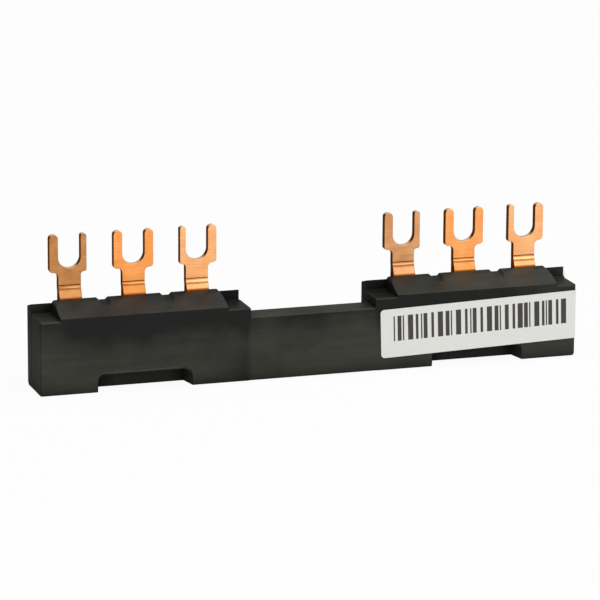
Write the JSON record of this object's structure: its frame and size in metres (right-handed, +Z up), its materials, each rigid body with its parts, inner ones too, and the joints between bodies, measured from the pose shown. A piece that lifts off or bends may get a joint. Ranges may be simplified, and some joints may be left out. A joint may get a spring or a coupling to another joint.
{
  "type": "three-phase fork busbar",
  "caption": "Insulated fork busbar: moulded body with tap-off blocks on a joining strip, and stamped copper forks that feed the phases of breakers standing side by side.",
  "frame": {"origin": "middle of the underside: half-way along the row, at the body's mid-depth", "axes": "+X along the row, -Y out of the front face, +Z up along the forks"},
  "size_m": [0.1161, 0.0107, 0.0312],
  "materials": {
    "body_plastic": "satin moulded, dark charcoal",
    "copper": "bare stamped copper, satin",
    "insulating_film": "plain film",
    "label_paper": "matt white paper"
  },
  "bodies": {
    "root": {"front_housing": "body_plastic", "rear_cover": "body_plastic", "conductor_l1": "copper", "conductor_l2": "copper", "conductor_l3": "copper", "insulator_front": "insulating_film", "insulator_rear": "insulating_film", "label": "label_paper"}
  },
  "joints": []
}
